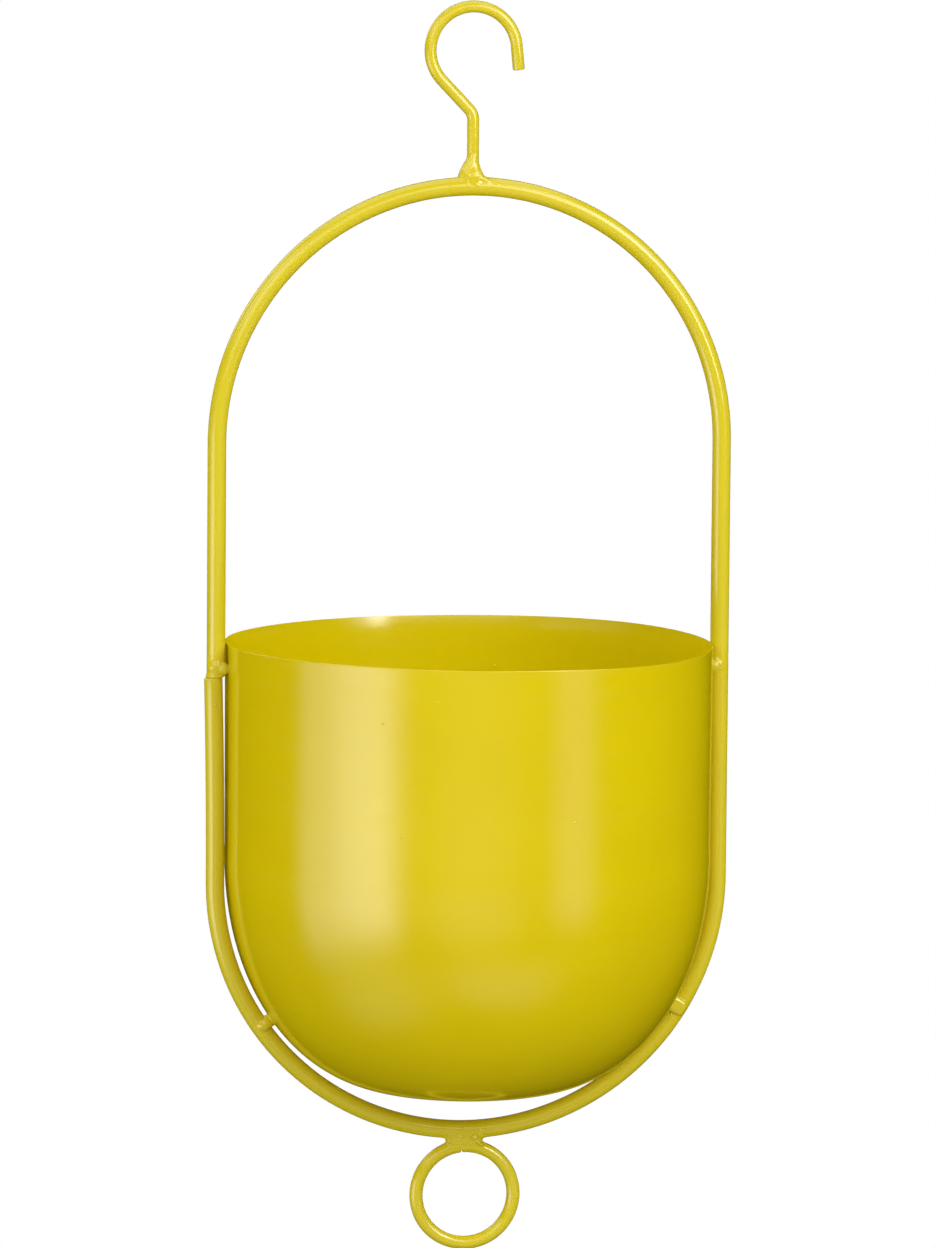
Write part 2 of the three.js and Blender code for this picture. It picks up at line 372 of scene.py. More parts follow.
class NodeSketch:
    """Short calls for the nodes that the finishes are made of."""

    def __init__(self, tree: bpy.types.NodeTree) -> None:
        """Keeps the tree that the nodes go into."""
        self.tree = tree

    def node(self, kind: str, inputs: dict | None = None, **settings: object) -> bpy.types.Node:
        """Adds a node.

        Args:
            kind: The node's type name.
            inputs: What feeds its inputs.
            settings: Properties to set on it first.

        Returns:
            The new node.
        """
        made = self.tree.nodes.new(kind)
        for name, value in settings.items():
            setattr(made, name, value)
        self.feed(made, inputs or {})
        return made

    def feed(self, node: bpy.types.Node, inputs: dict) -> None:
        """Links sockets to a node's inputs, or sets them to plain values.

        Args:
            node: The node.
            inputs: A socket, a number or a vector for each input's name or place.
        """
        for key, value in inputs.items():
            if isinstance(value, Socket):
                self.tree.links.new(value, node.inputs[key])
            else:
                node.inputs[key].default_value = value

    def math(self, operation: str, first: object, second: object = 0.0) -> Socket:
        """Returns the result of a Math node on two values or sockets."""
        return self.node("ShaderNodeMath", {0: first, 1: second}, operation=operation).outputs[0]

    def spread(self, value: Socket, span: tuple[float, float], top: float = 1.0,
               smooth: bool = False) -> Socket:
        """Maps a range on to zero up to a top value, clamped.

        Args:
            value: The socket to map.
            span: Where the range starts and ends.
            top: What its end becomes.
            smooth: Whether the map follows a smooth curve.

        Returns:
            The result's socket.
        """
        curve = "SMOOTHERSTEP" if smooth else "LINEAR"
        made = self.node("ShaderNodeMapRange", {
            "Value": value, "From Min": span[0], "From Max": span[1], "To Min": 0.0, "To Max": top,
        }, clamp=True, interpolation_type=curve)
        return made.outputs["Result"]

    def noise(self, place: Socket, scale: object, detail: float) -> Socket:
        """Returns the value of a noise texture with a scale and a count of octaves."""
        inputs = {"Vector": place, "Scale": scale, "Detail": detail}
        return self.node("ShaderNodeTexNoise", inputs, noise_dimensions="3D").outputs[0]

    def rings(self, place: Socket) -> Socket:
        """Turns a place into radius and height, so that a noise on it makes rings.

        Args:
            place: The coordinates' socket.

        Returns:
            A vector socket of radius, zero and height.
        """
        parts = self.node("ShaderNodeSeparateXYZ", {"Vector": place}).outputs
        across, along = (self.math("POWER", parts[axis], 2.0) for axis in "XY")
        radius = self.math("SQRT", self.math("ADD", across, along))
        joined = self.node("ShaderNodeCombineXYZ", {"X": radius, "Z": parts["Z"]})
        return joined.outputs["Vector"]


FINISHES = {
    Paint.SPUN_SHEET: GlossPaint(
        Paint.SPUN_SHEET.value, wave_height=0.05 * MM, wave_scale=30.0, nib_height=0.16 * MM,
        # The bowl's inside gets the painted bounce light colour.
        spin_height=0.02 * MM, painted_bounce_share=1.0, mouth_z=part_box("pot_bowl")[1].z,
    ),
    Paint.BAR: GlossPaint(
        Paint.BAR.value, tint=(0.738, 0.603, 0.02), deep_tint=(0.718, 0.583, 0.016),
        wave_height=0.012 * MM, wave_scale=55.0, nib_height=0.02 * MM,
    ),
    Paint.WELD: GlossPaint(
        Paint.WELD.value, tint=(0.74, 0.597, 0.014), deep_tint=(0.715, 0.572, 0.01),
        roughness=0.12, wave_scale=260.0,
    ),
}


# ---- mesh helpers


def finish_piece(name: str, bm: BMesh, nodes: tuple[str, ...], paint: Paint) -> None:
    """Turns a bmesh into a dressed piece that rides on the part.

    Args:
        name: The piece's name.
        bm: The finished bmesh, which is freed.
        nodes: The CAD nodes that the piece stands for.
        paint: The way in which the paint lies on it.
    """
    mesh = as_mesh(name, bm, MATERIALS[paint])
    mesh.shade_smooth()
    mesh.set_sharp_from_angle(angle=SHARP_ANGLE)
    piece = show(name, mesh)
    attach(piece, BODY)
    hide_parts(*nodes)
    log.info("%s: %d faces, stands for %s", name, len(mesh.polygons), ", ".join(nodes))


def round_edges(bm: BMesh, edges: list[bmesh.types.BMEdge], amount: float) -> None:
    """Rounds edges.

    Args:
        bm: The bmesh that they are in.
        edges: The edges.
        amount: How far the rounding reaches from each.
    """
    bmesh.ops.bevel(
        bm, geom=edges, offset=amount, offset_type="OFFSET", segments=ROUND_STEPS,
        profile=0.5, affect="EDGES", material=-1,
    )


class BarSweep:
    """A round bar drawn by carrying a circle of edges along straights and bends."""

    def __init__(self, start: Vector, heading: Vector, radius: float, sides: int = 40) -> None:
        """Makes the first circle.

        Args:
            start: The centre of the bar's first end.
            heading: The direction that the bar leaves in, in the XZ plane.
            radius: The bar's radius.
            sides: How many sides it has.
        """
        self.bm = bmesh.new()
        turn = UP.rotation_difference(heading).to_matrix().to_4x4()
        bmesh.ops.create_circle(
            self.bm, cap_ends=False, radius=radius, segments=sides,
            matrix=Matrix.Translation(start) @ turn,
        )
        self.front = list(self.bm.edges)
        self.start = list(self.front)

    def _front_verts(self) -> list[bmesh.types.BMVert]:
        """Returns the vertices of the circle that is being carried."""
        return list({vert for edge in self.front for vert in edge.verts})

    def straight(self, offset: Vector) -> None:
        """Carries the circle along a straight.

        Args:
            offset: How far and which way.
        """
        made = bmesh.ops.extrude_edge_only(self.bm, edges=self.front)["geom"]
        verts = [item for item in made if isinstance(item, bmesh.types.BMVert)]
        bmesh.ops.translate(self.bm, verts=verts, vec=offset)
        fresh = set(verts)
        self.front = [
            item for item in made
            if isinstance(item, bmesh.types.BMEdge) and all(vert in fresh for vert in item.verts)
        ]

    def bend(self, centre: Vector, axis: Vector, angle: float, steps: int) -> None:
        """Carries the circle round a bend.

        Args:
            centre: The bend's centre.
            axis: The axis that it turns about, by the right-hand rule.
            angle: How far it turns, in radians.
            steps: How many steps it takes.
        """
        made = bmesh.ops.spin(
            self.bm, geom=[*self._front_verts(), *self.front], cent=centre, axis=axis,
            angle=angle, steps=steps, use_merge=False, use_duplicate=False,
        )["geom_last"]
        self.front = [item for item in made if isinstance(item, bmesh.types.BMEdge)]

    def capped(self, start_round: float, end_round: float) -> BMesh:
        """Closes both ends and rounds their edges.

        Args:
            start_round: How far the first end's edge is rounded.
            end_round: How far the last end's edge is rounded.

        Returns:
            The closed bmesh.
        """
        for edges, amount in ((self.start, start_round), (self.front, end_round)):
            bmesh.ops.contextual_create(self.bm, geom=edges)
            round_edges(self.bm, edges, amount)
        bmesh.ops.recalc_face_normals(self.bm, faces=self.bm.faces)
        return self.bm


# ---- bowl


@dataclass
class Bowl:
    """The spun sheet bowl: a straight side over a round bottom, with a raw trimmed rim.

    Attributes:
        layout: The shared places and sizes.
        rim_band: How far below the rim its faces are looked for.
        level: How far up a face's normal points, at least, for it to be the rim's.
        rim_lifts: How far the hand-trimmed rim stands above its drawn height, in millimetres,
            at each eighth of a turn from the front round to the right.
    """

    layout: Layout
    side_height: float = 78 * MM
    side_taper: float = 0.2 * MM
    base_radius: float = 24.5 * MM
    roundness: float = 2.09
    sheet: float = 0.8 * MM
    lip_height: float = 8.5 * MM
    lip_flare: float = 0.1 * MM
    lip_thinning: float = 0.48 * MM
    outer_round: float = 0.24 * MM
    inner_round: float = 0.05 * MM
    rim_band: float = 2 * MM
    level: float = 0.9
    rim_lifts: tuple[float, ...] = (0.35, -0.6, -0.1, 0.5, 0.15, 0.2, 0.6, 1.0)
    around: int = 256
    bottom_steps: int = 64
    side_steps: int = 18
    lip_steps: int = 14

    def _bottom(self) -> tuple[float, float, float]:
        """Works out the round bottom.

        Returns:
            How far it bulges past the base, the height that it starts at, and its drop.
        """
        bulge = self.layout.rim_radius - self.side_taper - self.base_radius
        shoulder_z = self.layout.rim_z - self.side_height
        return bulge, shoulder_z, shoulder_z - self.layout.base_z

    def outline(self) -> list[Vector]:
        """Draws the outside from the centre of the underside up to the rim.

        Returns:
            The points, in the XZ plane.
        """
        layout = self.layout
        bulge, shoulder_z, drop = self._bottom()
        power = 2 / self.roundness
        points = [Vector((0.0, 0.0, layout.base_z))]
        for step in range(self.bottom_steps + 1):
            angle = step / self.bottom_steps * math.pi / 2
            radius = self.base_radius + bulge * math.sin(angle) ** power
            points.append(Vector((radius, 0.0, shoulder_z - drop * math.cos(angle) ** power)))
        straight = self.side_height - self.lip_height
        side, lip = range(1, self.side_steps + 1), range(1, self.lip_steps + 1)
        rises = [straight * step / self.side_steps for step in side]
        rises += [straight + self.lip_height * step / self.lip_steps for step in lip]
        for rise in rises:
            share = rise / self.side_height
            radius = layout.rim_radius - self.side_taper * (1 - share)
            radius -= self.lip_flare * (1 - self._lip_share(shoulder_z + rise))
            points.append(Vector((radius, 0.0, shoulder_z + rise)))
        return points

    def _lip_share(self, z: float) -> float:
        """Returns how far the lip has opened at a height, from zero to one at the rim."""
        return max(0.0, 1 - (self.layout.rim_z - z) / self.lip_height) ** 2

    def field(self, points: np.ndarray) -> np.ndarray:
        """Measures how far points lie outside the bowl's outer surface.

        Args:
            points: Rows of x, y and z.

        Returns:
            The distances, negative inside.
        """
        radius = np.hypot(points[:, 0], points[:, 1])
        bulge, shoulder_z, drop = self._bottom()
        across = np.clip(radius - self.base_radius, 0, None) / bulge
        down = np.clip(shoulder_z - points[:, 2], 0, None) / drop
        power = self.roundness
        value = (across**power + down**power) ** (1 / power)
        reach = np.maximum(value, LEAST_REACH)
        steep = np.hypot(
            (across / reach) ** (power - 1) / bulge, (down / reach) ** (power - 1) / drop
        )
        return (value - 1) / np.maximum(steep, LEAST_SLOPE)

    def build(self) -> None:
        """Spins the outline, gives the sheet its thickness and trims the rim."""
        bm = bmesh.new()
        verts = [bm.verts.new(point) for point in self.outline()]
        edges = [bm.edges.new(pair) for pair in zip(verts, verts[1:])]
        bmesh.ops.spin(
            bm, geom=[*verts, *edges], cent=(0, 0, 0), axis=UP, angle=2 * math.pi,
            steps=self.around, use_merge=True, use_duplicate=False,
        )
        bmesh.ops.remove_doubles(bm, verts=bm.verts, dist=MERGE_DISTANCE)
        bmesh.ops.recalc_face_normals(bm, faces=bm.faces)
        bmesh.ops.solidify(bm, geom=list(bm.faces), thickness=self.sheet)
        self._ease_lip(bm)
        self._round_rim(bm)
        self._trim_rim(bm)
        finish_piece("spun_bowl", bm, ("pot_bowl",), Paint.SPUN_SHEET)

    def _ease_lip(self, bm: BMesh) -> None:
        """Thins the sheet towards the rim from the inside, as the trimming tool leaves it.

        Args:
            bm: The bowl.
        """
        middle_radius = self.layout.rim_radius - self.lip_flare - self.sheet / 2
        for vert in bm.verts:
            radius = math.hypot(vert.co.x, vert.co.y)
            share = self._lip_share(vert.co.z)
            inner_limit = middle_radius + self.lip_flare * share
            if share > 0 and radius < inner_limit:
                grow = 1 + self.lip_thinning * share / radius
                vert.co.x *= grow
                vert.co.y *= grow

    def _round_rim(self, bm: BMesh) -> None:
        """Rounds the two edges of the sheet at the rim, the outer one more.

        Args:
            bm: The bowl.
        """
        low = self.layout.rim_z - self.rim_band
        rim = {
            face for face in bm.faces
            if face.normal.z > self.level and face.calc_center_median().z > low
        }
        reaches = {
            edge: math.hypot(*(edge.verts[0].co + edge.verts[1].co).xy) / 2
            for face in rim for edge in face.edges
            if sum(other in rim for other in edge.link_faces) == 1
        }
        middle = (min(reaches.values()) + max(reaches.values())) / 2
        outer = [edge for edge, reach in reaches.items() if reach > middle]
        inner = [edge for edge, reach in reaches.items() if reach <= middle]
        round_edges(bm, inner, self.inner_round)
        round_edges(bm, outer, self.outer_round)

    def _trim_rim(self, bm: BMesh) -> None:
        """Lets the trimmed rim wander a little up and down.

        Args:
            bm: The bowl.
        """
        count = len(self.rim_lifts)
        for vert in bm.verts:
            below = self.layout.rim_z - vert.co.z
            if below < self.lip_height:
                turn = math.atan2(vert.co.x, -vert.co.y) / (2 * math.pi) * count
                first = math.floor(turn)
                blend = (1 - math.cos((turn - first) * math.pi)) / 2
                lift = self.rim_lifts[first % count] * (1 - blend)
                lift += self.rim_lifts[(first + 1) % count] * blend
                vert.co.z += lift * MM * (1 - below / self.lip_height)


# ---- hoop, hook, ring


@dataclass
class Hoop:
    """The rod hoop, whose two ends meet a little out of line in the left leg.

    Attributes:
        low_round: How far the edge of the rod's lower end is rounded.
        high_round: How far the edge of its upper end is rounded.
        drip_drop: How far below the splice a drip hangs on the leg.
        drip_step: How much of the splice's step is left there.
        drip_half: The drip's half sizes.
    """

    layout: Layout
    splice_drop: float = 11.4 * MM
    splice_gap: float = 0.5 * MM
    splice_step: float = 0.95 * MM
    splice_ease: float = 73 * MM
    low_round: float = 0.7 * MM
    high_round: float = 1.6 * MM
    drip_drop: float = 10 * MM
    drip_step: float = 0.75
    drip_half: Triple = mm(0.45, 0.35, 0.6)
    ease_steps: int = 12
    bend_steps: int = 96

    @property
    def splice_z(self) -> float:
        """The height at which the rod's two ends meet."""
        return self.layout.rim_z - self.splice_drop

    def field(self, points: np.ndarray) -> np.ndarray:
        """Measures how far points lie outside the rod.

        Args:
            points: Rows of x, y and z.

        Returns:
            The distances, negative inside.
        """
        layout = self.layout
        height = points[:, 2] - np.clip(points[:, 2], layout.low_bend_z, layout.high_bend_z)
        off_line = np.hypot(points[:, 0], height) - layout.leg_x
        return np.hypot(off_line, points[:, 1]) - layout.rod_radius

    def build(self) -> None:
        """Sweeps the rod from its lower end round to its upper end."""
        layout = self.layout
        low_end = self.splice_z - self.splice_gap / 2
        start = Vector((-layout.leg_x - self.splice_step, 0, low_end))
        sweep = BarSweep(start, UP, layout.rod_radius)
        here = start
        for step in range(1, self.ease_steps + 1):
            left = 1 - step / self.ease_steps
            aside = self.splice_step * left**2
            target = Vector((-layout.leg_x - aside, 0, low_end - self.splice_ease * (1 - left)))
            sweep.straight(target - here)
            here = target
        sweep.straight(Vector((-layout.leg_x, 0, layout.low_bend_z)) - here)
        sweep.bend(Vector((0, 0, layout.low_bend_z)), ANTICLOCKWISE, math.pi, self.bend_steps)
        sweep.straight(UP * (layout.high_bend_z - layout.low_bend_z))
        sweep.bend(Vector((0, 0, layout.high_bend_z)), ANTICLOCKWISE, math.pi, self.bend_steps)
        sweep.straight(-UP * (layout.high_bend_z - self.splice_z - self.splice_gap / 2))
        bm = sweep.capped(self.low_round, self.high_round)
        leg = -layout.leg_x - self.splice_step * self.drip_step
        place = (leg, -layout.rod_radius, self.splice_z - self.drip_drop)
        Lump(place, self.drip_half).add_to(bm)
        finish_piece("bent_hoop", bm, ("hoop_rod",), Paint.BAR)


@dataclass
class Hook:
    """The open wire hook and its straight stem."""

    layout: Layout
    inner_radius: float = 13.8 * MM
    throat_angle: float = math.radians(43.6)
    neck_radius: float = 6 * MM
    end_drop: float = 21 * MM
    end_lean: float = math.radians(5.5)
    sunk: float = 1.5 * MM
    end_round: float = 0.5 * MM
    foot_round: float = 0.1 * MM
    crown_steps: int = 80
    neck_steps: int = 12

    def field(self, points: np.ndarray) -> np.ndarray:
        """Measures how far points lie outside the hook's stem, negative inside."""
        around = np.hypot(points[:, 0], points[:, 1]) - self.layout.hook_radius
        return np.maximum(around, self.layout.hoop_top_z - self.sunk - points[:, 2])

    def build(self) -> None:
        """Sweeps the wire from its free end over the crown and down the stem."""
        layout = self.layout
        radius = self.inner_radius + layout.hook_radius
        crown = Vector((0, 0, -self.inner_radius))
        heading = Vector((-math.sin(self.end_lean), 0, math.cos(self.end_lean)))
        bend_start = crown + radius * Vector((math.cos(self.end_lean), 0, math.sin(self.end_lean)))
        end_run = (bend_start.z + self.end_drop) / heading.z
        sine, cosine = math.sin(self.throat_angle), math.cos(self.throat_angle)
        diagonal = Vector((sine, 0, -cosine))
        bend_end = crown + radius * Vector((-cosine, 0, -sine))
        neck_run = self.neck_radius * math.tan(self.throat_angle / 2)
        diagonal_run = -bend_end.x / sine - neck_run
        neck_foot = bend_end.z - (-bend_end.x / sine) * cosine - neck_run
        start = bend_start - heading * end_run
        sweep = BarSweep(start, heading, layout.hook_radius, sides=WIRE_SIDES)
        sweep.straight(heading * end_run)
        crown_turn = math.pi + self.throat_angle - self.end_lean
        sweep.bend(crown, ANTICLOCKWISE, crown_turn, self.crown_steps)
        sweep.straight(diagonal * diagonal_run)
        neck = Vector((-self.neck_radius, 0, neck_foot))
        sweep.bend(neck, CLOCKWISE, self.throat_angle, self.neck_steps)
        sweep.straight(-UP * (neck_foot - layout.hoop_top_z + self.sunk))
        bm = sweep.capped(self.end_round, self.foot_round)
        finish_piece("wire_hook", bm, ("hook",), Paint.BAR)


@dataclass
class Ring:
    """The wire ring under the hoop, with its butted ends at the top.

    Attributes:
        notch_x: Where the notch between the ends is, from the ring's middle to the right.
        notch_half: Half the notch's width at its foot.
        notch_depth: How far up it closes.
    """

    layout: Layout
    inner_diameter: float = 31.6 * MM
    butt_gap: float = 0.5 * MM
    notch_x: float = -1.4 * MM
    notch_half: float = 0.7 * MM
    notch_depth: float = 1.3 * MM
    end_round: float = 0.5 * MM
    steps: int = 120

    @property
    def radius(self) -> float:
        """The radius of the wire's centreline."""
        return self.inner_diameter / 2 + self.layout.ring_radius

    @property
    def centre_z(self) -> float:
        """The height of the ring's centre."""
        return self.layout.ring_foot_z + self.layout.ring_radius + self.radius

    def field(self, points: np.ndarray) -> np.ndarray:
        """Measures how far points lie outside the ring's wire.

        Args:
            points: Rows of x, y and z.

        Returns:
            The distances, negative inside.
        """
        off_line = np.hypot(points[:, 0], points[:, 2] - self.centre_z) - self.radius
        wire = np.hypot(off_line, points[:, 1]) - self.layout.ring_radius
        above = points[:, 2] - (self.centre_z + self.inner_diameter / 2)
        half = self.notch_half * (1 - above / self.notch_depth)
        return np.maximum(wire, half - np.abs(points[:, 0] - self.notch_x))

    def build(self) -> None:
        """Sweeps the wire round from one butted end to the other."""
        butt = self.butt_gap / 2 / self.radius
        turn = self.notch_x / self.radius - butt
        centre = Vector((0, 0, self.centre_z))
        start = centre + self.radius * Vector((math.sin(turn), 0, math.cos(turn)))
        heading = Vector((-math.cos(turn), 0, math.sin(turn)))
        sweep = BarSweep(start, heading, self.layout.ring_radius, sides=WIRE_SIDES)
        sweep.bend(centre, ANTICLOCKWISE, 2 * (math.pi - butt), self.steps)
        bm = sweep.capped(self.end_round, self.end_round)
        finish_piece("wire_ring", bm, ("hanging_ring",), Paint.BAR)


# ---- welds


def blended(first: np.ndarray, second: np.ndarray, width: float) -> np.ndarray:
    """Joins the distances to two bodies with a fillet of the given width."""
    share = np.clip(0.5 + 0.5 * (second - first) / width, 0, 1)
    return second + (first - second) * share - width * share * (1 - share)


@dataclass(frozen=True)
class Lump:
    """A rounded or blocky lump of weld metal.

    Attributes:
        centre: Its centre.
        half: Its half sizes along its own axes.
        turn: How far it is turned about Y, in degrees.
        width: How wide the fillet round it is.
        power: Two for an egg shape, and more for a rounded block.
        facing: How far a drop's front is turned, in degrees to the right and up.
    """

    centre: Triple
    half: Triple
    turn: float = 0.0
    width: float = 1.0 * MM
    power: float = 2.0
    facing: tuple[float, float] = (0.0, 0.0)

    def field(self, points: np.ndarray) -> np.ndarray:
        """Measures how far points lie outside the lump.

        Args:
            points: Rows of x, y and z.

        Returns:
            The distances, negative inside.
        """
        angle = math.radians(self.turn)
        local = points - np.array(self.centre)
        x = local[:, 0] * math.cos(angle) - local[:, 2] * math.sin(angle)
        z = local[:, 0] * math.sin(angle) + local[:, 2] * math.cos(angle)
        scaled = np.abs(np.stack([x, local[:, 1], z], 1)) / np.array(self.half)
        reach = np.maximum((scaled**self.power).sum(1) ** (1 / self.power), LEAST_SLOPE)
        slopes = (scaled / reach[:, None]) ** (self.power - 1) / np.array(self.half)
        return (reach - 1) / np.linalg.norm(slopes, axis=1)

    def add_to(self, bm: BMesh) -> None:
        """Adds the lump as a drop of its own, with a crisp edge where it meets the rest.

        Args:
            bm: The bmesh that it goes into.
        """
        turn = Matrix.Rotation(math.radians(self.facing[0]), 4, "Z")
        turn @= Matrix.Rotation(math.radians(-self.facing[1]), 4, "X")
        turn @= Matrix.Rotation(math.radians(self.turn), 4, "Y")
        place = Matrix.Translation(self.centre) @ turn @ Matrix.Diagonal((*self.half, 1.0))
        bmesh.ops.create_icosphere(bm, subdivisions=4, radius=1.0, matrix=place)


@dataclass
class Bead:
    """A weld bead, drawn as the skin of the joined metal round one place.

    The skin starts as a ball of faces. Each of its points goes out from the bead's centre
    to the surface of the joined metal, or stops inside the metal at the bead's reach, so
    the skin runs out on to the bars and the bowl without a step.
    """

    name: str
    nodes: tuple[str, ...]
    centre: Vector
    reach: float
    bars: list[Field]
    lumps: list[Lump]
    bowl: Bowl | None = None
    drops: tuple[Lump, ...] = ()
    bar_width: float = 1.2 * MM
    film: float = 0.015 * MM
    ripple: float = 0.08 * MM
    ripple_scale: float = 900.0
    fineness: int = 6
    stride: float = 0.1 * MM
    halvings: int = 10

    def _metal(self, points: np.ndarray) -> np.ndarray:
        """Measures how far points lie outside the joined metal.

        Args:
            points: Rows of x, y and z.

        Returns:
            The distances, negative inside.
        """
        joined = self.bars[0](points)
        for bar in self.bars[1:]:
            joined = blended(joined, bar(points), self.bar_width)
        if self.bowl is not None:
            joined = blended(joined, self.bowl.field(points), self.bar_width)
        for lump in self.lumps:
            joined = blended(joined, lump.field(points), lump.width)
        joined = joined - self.film
        if self.bowl is not None:
            within = -(self.bowl.field(points) + self.bowl.sheet / 2)
            joined = np.maximum(joined, within)
        return joined

    def _runs(self, directions: np.ndarray) -> np.ndarray:
        """Finds how far each direction runs before it leaves the metal.

        Args:
            directions: Rows of unit vectors.

        Returns:
            The distances from the bead's centre.
        """
        centre = np.array(self.centre)
        inside = np.zeros(len(directions))
        running = np.ones(len(directions), bool)
        for distance in np.arange(self.stride, self.reach + self.stride / 2, self.stride):
            still = self._metal(centre + directions[running] * distance) < 0
            places = np.flatnonzero(running)
            inside[places[still]] = distance
            running[places[~still]] = False
        low, high = inside.copy(), inside + self.stride
        for _ in range(self.halvings):
            middle = (low + high) / 2
            within = self._metal(centre + directions * middle[:, None]) < 0
            low = np.where(within, middle, low)
            high = np.where(within, high, middle)
        return np.where(running, self.reach, low)

    def build(self) -> None:
        """Draws the bead's skin."""
        bm = bmesh.new()
        bmesh.ops.create_icosphere(bm, subdivisions=self.fineness, radius=1.0)
        directions = np.array([vert.co.normalized() for vert in bm.verts])
        runs = self._runs(directions)
        for vert, direction, run in zip(bm.verts, directions, runs):
            outward = Vector(direction)
            place = self.centre + outward * float(run)
            if run < self.reach:
                fade = 1 - (run / self.reach) ** 2
                place += outward * self.ripple * fade * noise.noise(place * self.ripple_scale)
            vert.co = place
        for drop in self.drops:
            drop.add_to(bm)
        finish_piece(self.name, bm, self.nodes, Paint.WELD)


@dataclass(frozen=True)
class TackShape:
    """The lump that shows on the front of a lower tack.

    Attributes:
        inward: How far its middle sits inside the rod's centreline.
        forward: How far its middle sits in front of the rod's plane.
        half: Its half sizes across the rod, forward and along the rod.
        width: How wide the fillet round it is.
        power: Two for an egg shape, and more for a rounded block.
        drop: How far outward and down a small drop sits from the rod's centreline.
    """

    inward: float
    forward: float
    half: Triple
    width: float
    power: float
    drop: tuple[float, float]


LEFT_NUGGET = TackShape(1.7 * MM, 2.3 * MM, mm(3.0, 2.2, 2.4), 0.5 * MM, 2.2, mm(-1.0, 3.2))
RIGHT_BLOCK = TackShape(1.6 * MM, 1.9 * MM, mm(3.8, 2.5, 3.1), 0.3 * MM, 4.0, mm(-3.2, 2.6))


@dataclass
class Welds:
    """The six places where the pieces are welded together.

    Attributes:
        ring_drops: Where each drop on the ring's bead is from the hoop's underside, and its
            half sizes, in millimetres.
        splice_clearance: How far above the splice the upper rod's metal starts.
        root_depth: How far a lower tack's root sits inside the rod's surface.
        drop_forward: How far in front of the rod's plane a lower tack's drop sits.
    """

    layout: Layout
    bowl: Bowl
    hoop: Hoop
    hook: Hook
    ring: Ring
    upper_left_drop: float = 8 * MM
    upper_right_drop: float = 9.3 * MM
    splice_clearance: float = 0.4 * MM
    lower_left_angle: float = math.radians(35)
    lower_right_angle: float = math.radians(31.7)
    ring_drops: tuple[tuple[Triple, Triple], ...] = (
        ((3.2, -3.35, 1.0), (1.2, 0.35, 1.2)),
        ((-1.5, -3.5, 4.1), (0.5, 0.2, 0.5)),
        ((-2.1, -3.25, 1.2), (0.4, 0.2, 0.6)),
        ((-6.6, -2.5, -1.0), (0.5, 0.3, 0.4)),
        ((5.1, -3.4, 3.9), (0.5, 0.2, 0.4)),
    )
    root_depth: float = 0.4 * MM
    drop_forward: float = 2.9 * MM

    def build(self) -> None:
        """Builds every bead."""
        left, right = self.lower_left_angle, self.lower_right_angle
        beads = [
            self._hook_bead(),
            self._ring_bead(),
            self._upper_left_bead(),
            self._upper_right_bead(),
            self._lower_bead(-1, left, LEFT_NUGGET, "lower_left_tack", "tack_lower_left"),
            self._lower_bead(1, right, RIGHT_BLOCK, "lower_right_tack", "tack_lower_right"),
        ]
        for bead in beads:
            bead.build()

    def _hook_bead(self) -> Bead:
        """Shapes the cone of weld round the hook's stem.

        Returns:
            The bead.
        """
        top = (0.0, 0.0, self.layout.hoop_top_z)
        lumps = [
            Lump(beside(top, -2.3, -0.3, 3.4), mm(1.7, 2.3, 5.3), 29, 0.7 * MM, 2.6),
            Lump(beside(top, 0.9, -0.2, 1.4), mm(2.2, 2.1, 3.0), -24, 2.2 * MM),
            Lump(beside(top, 0.0, -1.3, 0.2), mm(3.2, 2.1, 2.6), 0, 1.6 * MM),
            Lump(beside(top, 4.2, -1.5, -0.9), mm(3.6, 1.6, 1.1), 28, 0.8 * MM),
        ]
        return Bead("hook_fillet", ("hook_weld",), Vector(beside(top, 0.0, 0.0, -1.2)), 10.5 * MM,
                    [self.hoop.field, self.hook.field], lumps, bar_width=1.6 * MM)

    def _ring_bead(self) -> Bead:
        """Shapes the block of weld between the hoop and the ring's butted ends.

        Returns:
            The bead.
        """
        foot = (0.0, 0.0, self.layout.hoop_foot_z)
        lumps = [
            Lump(beside(foot, -0.4, -0.6, 0.1), mm(6.9, 2.5, 2.3), 0, 1.2 * MM, 3.4),
            Lump(beside(foot, 4.8, -2.5, -1.2), mm(2.5, 0.9, 0.6), 42, 0.4 * MM),
        ]
        drops = tuple(
            Lump(beside(foot, *offset), mm(*half), facing=TOWARD_KEY)
            for offset, half in self.ring_drops
        )
        return Bead("ring_fillet", ("ring_weld",), Vector(foot), 10.5 * MM,
                    [self.hoop.field, self.ring.field], lumps, drops=drops, bar_width=0.8 * MM)

    def _upper_left_bead(self) -> Bead:
        """Shapes the tack under the rim on the left, with the splice just below it.

        Returns:
            The bead.
        """
        layout = self.layout
        leg = (-layout.leg_x, 0.0, layout.rim_z - self.upper_left_drop)
        splice = (-layout.leg_x, 0.0, self.hoop.splice_z)
        lumps = [
            Lump(beside(leg, 0.2, -1.5, 0.4), mm(3.4, 2.6, 2.9), width=0.8 * MM),
            Lump(beside(leg, 2.4, -2.7, -0.1), mm(2.1, 1.9, 2.3), width=0.35 * MM),
            Lump(beside(splice, -0.8, -3.0, 0.7), mm(0.7, 0.6, 0.6), width=0.3 * MM),
            Lump(beside(splice, -0.4, 0.0, 0.3), mm(3.3, 3.2, 1.2), width=0.6 * MM),
        ]
        return Bead("upper_left_tack", ("tack_upper_left", "splice_weld"),
                    Vector(beside(leg, 1.6, -1.2, 0.0)), 6.5 * MM,
                    [self._upper_rod_end], lumps, self.bowl)

    def _upper_rod_end(self, points: np.ndarray) -> np.ndarray:
        """Measures how far points lie outside the rod above its splice, negative inside."""
        above = self.hoop.splice_z + self.splice_clearance - points[:, 2]
        return np.maximum(self.hoop.field(points), above)

